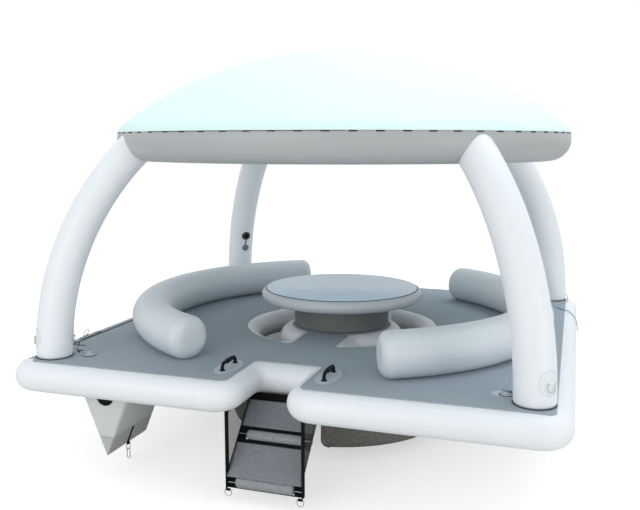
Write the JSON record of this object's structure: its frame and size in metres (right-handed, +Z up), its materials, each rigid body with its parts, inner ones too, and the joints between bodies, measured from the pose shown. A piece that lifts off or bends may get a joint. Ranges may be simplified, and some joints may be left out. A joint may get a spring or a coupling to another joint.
{
  "type": "inflatable floating platform",
  "caption": "Square inflatable floating platform with a round table over two mesh footwells, curved backrests, bowed legs that carry a ringed canopy, and a boarding ladder.",
  "frame": {"origin": "under the middle of the deck, level with the lowest point, the tip of the hanging snap hook", "axes": "X to the right as seen from the ladder side, Y away from the ladder, Z up"},
  "size_m": [3.675, 3.66, 2.972],
  "materials": {
    "white_coated_fabric": "satin coated fabric, heat sealed",
    "light_coated_fabric": "satin coated fabric, light grey-blue",
    "ring_coated_fabric": "satin coated fabric, mid grey",
    "pedestal_coated_fabric": "satin coated fabric, dark grey",
    "deck_foam": "fine grained closed-cell foam",
    "table_foam": "smooth closed-cell foam, pale blue",
    "roll_foam": "closed-cell foam",
    "basket_mesh": "coarse coated mesh",
    "ladder_mesh": "fine coated mesh",
    "webbing": "woven webbing",
    "bag_cloth": "coated cloth",
    "bag_mesh": "coarse coated mesh",
    "cover_cloth": "thin pale cloth",
    "pole": "glass-fibre rod",
    "steel": "stainless wire",
    "tube": "drawn tube",
    "grip": "black moulded grip",
    "patch": "welded patch",
    "valve_plastic": "moulded plastic",
    "cord": "braided cord"
  },
  "bodies": {
    "platform": {"deck_hull": "white_coated_fabric", "traction_pad": "deck_foam", "right_footwell_basket": "basket_mesh", "left_footwell_basket": "basket_mesh", "footwell_bands": "white_coated_fabric", "table_pedestal": "pedestal_coated_fabric", "tabletop": "light_coated_fabric", "tabletop_pad": "table_foam", "right_backrest": "light_coated_fabric", "left_backrest": "light_coated_fabric", "canopy_ring": "ring_coated_fabric", "front_right_leg": "white_coated_fabric", "back_right_leg": "white_coated_fabric", "back_left_leg": "white_coated_fabric", "front_left_leg": "white_coated_fabric", "canopy_cover": "cover_cloth", "hem_tabs": "webbing", "crosswise_canopy_pole": "pole", "lengthwise_canopy_pole": "pole", "ladder_left_panel": "ladder_mesh", "ladder_left_strap": "webbing", "ladder_right_panel": "ladder_mesh", "ladder_right_strap": "webbing", "ladder_top_band": "webbing", "ladder_upper_mesh": "ladder_mesh", "ladder_lower_mesh": "ladder_mesh", "ladder_upper_band": "webbing", "ladder_upper_rung": "tube", "ladder_upper_foam": "roll_foam", "ladder_lower_band": "webbing", "ladder_lower_rung": "tube", "ladder_lower_foam": "roll_foam", "ballast_bag": "bag_cloth", "ballast_bag_mesh": "bag_mesh", "ballast_bag_port": "webbing", "ballast_bag_strap": "webbing", "left_grab_handle": "grip", "right_grab_handle": "grip", "handle_patches": "patch", "ring_patches": "patch", "canopy_valve": "valve_plastic", "canopy_valve_cap": "valve_plastic", "back_right_tie_cord": "cord"},
    "front_right_leg_outer_ring": {"front_right_leg_outer_ring": "steel"},
    "front_right_leg_inner_ring": {"front_right_leg_inner_ring": "steel"},
    "back_right_leg_outer_ring": {"back_right_leg_outer_ring": "steel"},
    "back_right_leg_inner_ring": {"back_right_leg_inner_ring": "steel"},
    "back_left_leg_outer_ring": {"back_left_leg_outer_ring": "steel"},
    "back_left_leg_inner_ring": {"back_left_leg_inner_ring": "steel"},
    "front_left_leg_outer_ring": {"front_left_leg_outer_ring": "steel"},
    "front_left_leg_inner_ring": {"front_left_leg_inner_ring": "steel"},
    "left_deck_ring": {"left_deck_ring": "steel"},
    "right_deck_ring": {"right_deck_ring": "steel"},
    "left_side_ring": {"left_side_ring": "steel"},
    "ladder_left_ring": {"ladder_left_ring": "steel"},
    "ladder_right_ring": {"ladder_right_ring": "steel"},
    "bag_ring": {"ballast_bag_ring": "steel"},
    "snap_hook": {"snap_hook_body": "steel"},
    "hook_gate": {"snap_hook_gate": "steel"}
  },
  "joints": [
    {"name": "front_right_leg_outer_ring_swing", "type": "hinge", "parent": "platform", "child": "front_right_leg_outer_ring", "pos_m": [1.69478, -1.65386, 0.9492], "axis": [-0.6984, -0.7157, 0], "range_deg": [0, 175]},
    {"name": "front_right_leg_inner_ring_swing", "type": "hinge", "parent": "platform", "child": "front_right_leg_inner_ring", "pos_m": [1.50873, -1.47231, 0.9308], "axis": [0.6984, 0.7157, 0], "range_deg": [0, 175]},
    {"name": "back_right_leg_outer_ring_swing", "type": "hinge", "parent": "platform", "child": "back_right_leg_outer_ring", "pos_m": [1.69478, 1.65386, 0.9492], "axis": [0.6984, -0.7157, 0], "range_deg": [0, 175]},
    {"name": "back_right_leg_inner_ring_swing", "type": "hinge", "parent": "platform", "child": "back_right_leg_inner_ring", "pos_m": [1.50873, 1.47231, 0.9308], "axis": [-0.6984, 0.7157, 0], "range_deg": [0, 175]},
    {"name": "back_left_leg_outer_ring_swing", "type": "hinge", "parent": "platform", "child": "back_left_leg_outer_ring", "pos_m": [-1.69478, 1.65386, 0.9492], "axis": [0.6984, 0.7157, 0], "range_deg": [0, 175]},
    {"name": "back_left_leg_inner_ring_swing", "type": "hinge", "parent": "platform", "child": "back_left_leg_inner_ring", "pos_m": [-1.50873, 1.47231, 0.9308], "axis": [-0.6984, -0.7157, 0], "range_deg": [0, 175]},
    {"name": "front_left_leg_outer_ring_swing", "type": "hinge", "parent": "platform", "child": "front_left_leg_outer_ring", "pos_m": [-1.69478, -1.65386, 0.9492], "axis": [-0.6984, 0.7157, 0], "range_deg": [0, 175]},
    {"name": "front_left_leg_inner_ring_swing", "type": "hinge", "parent": "platform", "child": "front_left_leg_inner_ring", "pos_m": [-1.50873, -1.47231, 0.9308], "axis": [0.6984, -0.7157, 0], "range_deg": [0, 175]},
    {"name": "left_deck_ring_swing", "type": "hinge", "parent": "platform", "child": "left_deck_ring", "pos_m": [-1.408, -1.45195, 0.8083], "axis": [-0.7986, -0.6018, 0], "range_deg": [0, 168]},
    {"name": "right_deck_ring_swing", "type": "hinge", "parent": "platform", "child": "right_deck_ring", "pos_m": [1.408, -1.45195, 0.8083], "axis": [-0.1392, -0.9903, 0], "range_deg": [0, 168]},
    {"name": "left_side_ring_swing", "type": "hinge", "parent": "platform", "child": "left_side_ring", "pos_m": [-1.79056, -0.945, 0.78478], "axis": [0.829, 0, 0.5592], "range_deg": [-30, 120]},
    {"name": "ladder_left_ring_swing", "type": "hinge", "parent": "platform", "child": "ladder_left_ring", "pos_m": [-0.243, -1.699, 0.074], "axis": [1, 0, 0], "range_deg": [-80, 80]},
    {"name": "ladder_right_ring_swing", "type": "hinge", "parent": "platform", "child": "ladder_right_ring", "pos_m": [0.243, -1.699, 0.074], "axis": [1, 0, 0], "range_deg": [-80, 80]},
    {"name": "bag_ring_swing", "type": "hinge", "parent": "platform", "child": "bag_ring", "pos_m": [-1.214, -1.307, 0.111], "axis": [0, 1, 0], "range_deg": [-60, 60]},
    {"name": "snap_hook_swing", "type": "hinge", "parent": "bag_ring", "child": "snap_hook", "pos_m": [-1.214, -1.307, 0.0705], "axis": [0, 1, 0], "range_deg": [-75, 75]},
    {"name": "hook_gate_turn", "type": "hinge", "parent": "snap_hook", "child": "hook_gate", "pos_m": [-1.202, -1.307, 0.02], "axis": [0, -1, 0], "range_deg": [0, 22], "stiffness_Nm_per_rad": 0.02}
  ]
}
